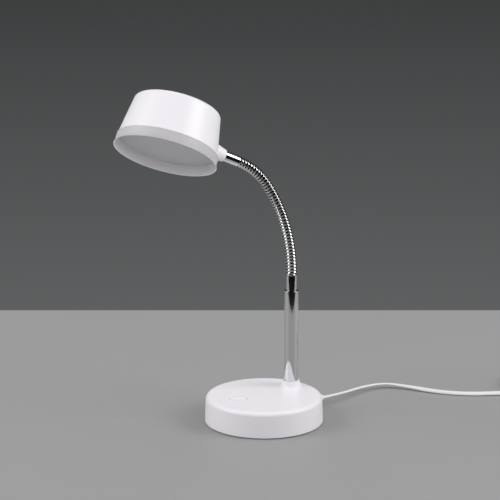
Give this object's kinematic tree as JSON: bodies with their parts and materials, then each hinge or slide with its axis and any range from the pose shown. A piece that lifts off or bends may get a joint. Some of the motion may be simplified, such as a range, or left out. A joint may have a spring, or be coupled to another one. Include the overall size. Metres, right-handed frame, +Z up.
{
  "type": "gooseneck desk lamp",
  "caption": "White desk lamp with a round weighted base and push button, a chrome stem, a flexible chrome gooseneck and a round shade with a frosted rim.",
  "frame": {"origin": "on the table, under the middle of the round base", "axes": "+Z up, +X to the right and +Y away, as the picture looks at the lamp"},
  "size_m": [0.4948, 0.2943, 0.3455],
  "materials": {
    "white_shell": "satin white, moulded",
    "frosted": "frosted translucent white",
    "chrome": "polished",
    "plated_steel": "zinc plated",
    "painted_steel": "grey paint",
    "iron": "as cast",
    "foam": "black foam",
    "white_cable": "smooth white jacket",
    "laminate": "green board",
    "white_laminate": "white coated aluminium board",
    "bare_aluminium": "as rolled",
    "phosphor": "yellow phosphor",
    "black_part": "black case",
    "brass": "turned"
  },
  "bodies": {
    "base": {"base_pad": "foam", "base_plate": "painted_steel", "base_screws": "plated_steel", "base_cover": "white_shell", "base_weight": "iron", "stem_tube": "chrome", "stem_foot_bush": "brass", "stem_nipple": "plated_steel", "stem_washer": "plated_steel", "stem_nut": "plated_steel", "stem_top_bush": "brass", "lower_ferrule": "chrome", "stem_lead": "white_cable", "lead_connector": "white_cable", "switch_body": "black_part", "board_standoffs": "white_cable", "driver_board": "laminate", "driver_transformer": "black_part", "driver_capacitors": "bare_aluminium", "terminal_block": "white_cable", "mains_lead": "white_cable", "board_leads": "white_cable", "switch_leads": "white_cable", "cord_relief": "white_cable", "mains_cord": "white_cable", "cord_coil": "white_cable", "cord_tie": "white_cable", "cord_tail": "white_cable", "plug_body": "white_cable", "plug_pins": "brass"},
    "button": {"switch_button": "white_shell", "switch_plunger": "white_cable"},
    "link_01": {"gooseneck_link_01": "chrome"},
    "link_02": {"gooseneck_link_02": "chrome"},
    "link_03": {"gooseneck_link_03": "chrome"},
    "link_04": {"gooseneck_link_04": "chrome"},
    "link_05": {"gooseneck_link_05": "chrome"},
    "link_06": {"gooseneck_link_06": "chrome"},
    "link_07": {"gooseneck_link_07": "chrome"},
    "link_08": {"gooseneck_link_08": "chrome"},
    "link_09": {"gooseneck_link_09": "chrome"},
    "link_10": {"gooseneck_link_10": "chrome"},
    "link_11": {"gooseneck_link_11": "chrome"},
    "link_12": {"gooseneck_link_12": "chrome"},
    "link_13": {"gooseneck_link_13": "chrome"},
    "link_14": {"gooseneck_link_14": "chrome"},
    "head": {"upper_ferrule": "chrome", "neck_washer": "plated_steel", "neck_nut": "plated_steel", "shade": "white_shell", "diffuser": "frosted", "heat_sink": "bare_aluminium", "led_board": "white_laminate", "led_chips": "phosphor", "head_screws": "plated_steel", "head_lead": "white_cable"}
  },
  "joints": [
    {"name": "neck_bend", "type": "hinge", "parent": "base", "child": "link_01", "pos_m": [0.028, 0.031, 0.1468], "axis": [0.3256, -0.9455, 0], "range_deg": [-8.1, 6]},
    {"name": "neck_sway", "type": "hinge", "parent": "link_01", "child": "link_02", "pos_m": [0.02774, 0.03091, 0.15666], "axis": [-0.944, -0.3251, -0.0562], "range_deg": [-6.5, 6.5]},
    {"name": "neck_bend_2", "type": "hinge", "parent": "link_02", "child": "link_03", "pos_m": [0.02695, 0.03064, 0.1665], "axis": [0.3256, -0.9455, 0], "range_deg": [-8.1, 6]},
    {"name": "neck_sway_2", "type": "hinge", "parent": "link_03", "child": "link_04", "pos_m": [0.02565, 0.03019, 0.17627], "axis": [-0.9321, -0.321, -0.1678], "range_deg": [-6.5, 6.5]},
    {"name": "neck_bend_3", "type": "hinge", "parent": "link_04", "child": "link_05", "pos_m": [0.02382, 0.02956, 0.18594], "axis": [0.3256, -0.9455, 0], "range_deg": [-8.1, 6]},
    {"name": "neck_sway_3", "type": "hinge", "parent": "link_05", "child": "link_06", "pos_m": [0.02149, 0.02876, 0.1955], "axis": [-0.9084, -0.3128, -0.2773], "range_deg": [-6.5, 6.5]},
    {"name": "neck_bend_4", "type": "hinge", "parent": "link_06", "child": "link_07", "pos_m": [0.01865, 0.02778, 0.20489], "axis": [0.3256, -0.9455, 0], "range_deg": [-8.1, 6]},
    {"name": "neck_sway_4", "type": "hinge", "parent": "link_07", "child": "link_08", "pos_m": [0.01532, 0.02663, 0.21411], "axis": [-0.8733, -0.3007, -0.3833], "range_deg": [-6.5, 6.5]},
    {"name": "neck_bend_5", "type": "hinge", "parent": "link_08", "child": "link_09", "pos_m": [0.0115, 0.02532, 0.22311], "axis": [0.3256, -0.9455, 0], "range_deg": [-8.1, 6]},
    {"name": "neck_sway_5", "type": "hinge", "parent": "link_09", "child": "link_10", "pos_m": [0.00721, 0.02384, 0.23188], "axis": [-0.8271, -0.2848, -0.4845], "range_deg": [-6.5, 6.5]},
    {"name": "neck_bend_6", "type": "hinge", "parent": "link_10", "child": "link_11", "pos_m": [0.00246, 0.02221, 0.24037], "axis": [0.3256, -0.9455, 0], "range_deg": [-8.1, 6]},
    {"name": "neck_sway_6", "type": "hinge", "parent": "link_11", "child": "link_12", "pos_m": [-0.00307, 0.0203, 0.24832], "axis": [-0.7187, -0.2475, -0.6498], "range_deg": [-6.5, 6.5]},
    {"name": "neck_bend_7", "type": "hinge", "parent": "link_12", "child": "link_13", "pos_m": [-0.00963, 0.01804, 0.25533], "axis": [0.3256, -0.9455, 0], "range_deg": [-8.1, 6]},
    {"name": "neck_sway_7", "type": "hinge", "parent": "link_13", "child": "link_14", "pos_m": [-0.01708, 0.01548, 0.26127], "axis": [-0.5125, -0.1765, -0.8403], "range_deg": [-6.5, 6.5]},
    {"name": "neck_bend_8", "type": "hinge", "parent": "link_14", "child": "head", "pos_m": [-0.02527, 0.01266, 0.266], "axis": [0.3256, -0.9455, 0], "range_deg": [-8.1, 6]},
    {"name": "switch_push", "type": "slide", "parent": "base", "child": "button", "axis": [0, 0, -1], "range_m": [0, 0.002], "stiffness_N_per_m": 500, "springref_m": -0.001}
  ],
  "couplings": [
    {"joint": "neck_bend_2", "follows": "neck_bend", "ratio": 1},
    {"joint": "neck_sway_2", "follows": "neck_sway", "ratio": 1},
    {"joint": "neck_bend_3", "follows": "neck_bend", "ratio": 1},
    {"joint": "neck_sway_3", "follows": "neck_sway", "ratio": 1},
    {"joint": "neck_bend_4", "follows": "neck_bend", "ratio": 1},
    {"joint": "neck_sway_4", "follows": "neck_sway", "ratio": 1},
    {"joint": "neck_bend_5", "follows": "neck_bend", "ratio": 1},
    {"joint": "neck_sway_5", "follows": "neck_sway", "ratio": 1},
    {"joint": "neck_bend_6", "follows": "neck_bend", "ratio": 1},
    {"joint": "neck_sway_6", "follows": "neck_sway", "ratio": 1},
    {"joint": "neck_bend_7", "follows": "neck_bend", "ratio": 1},
    {"joint": "neck_sway_7", "follows": "neck_sway", "ratio": 1},
    {"joint": "neck_bend_8", "follows": "neck_bend", "ratio": 1}
  ]
}
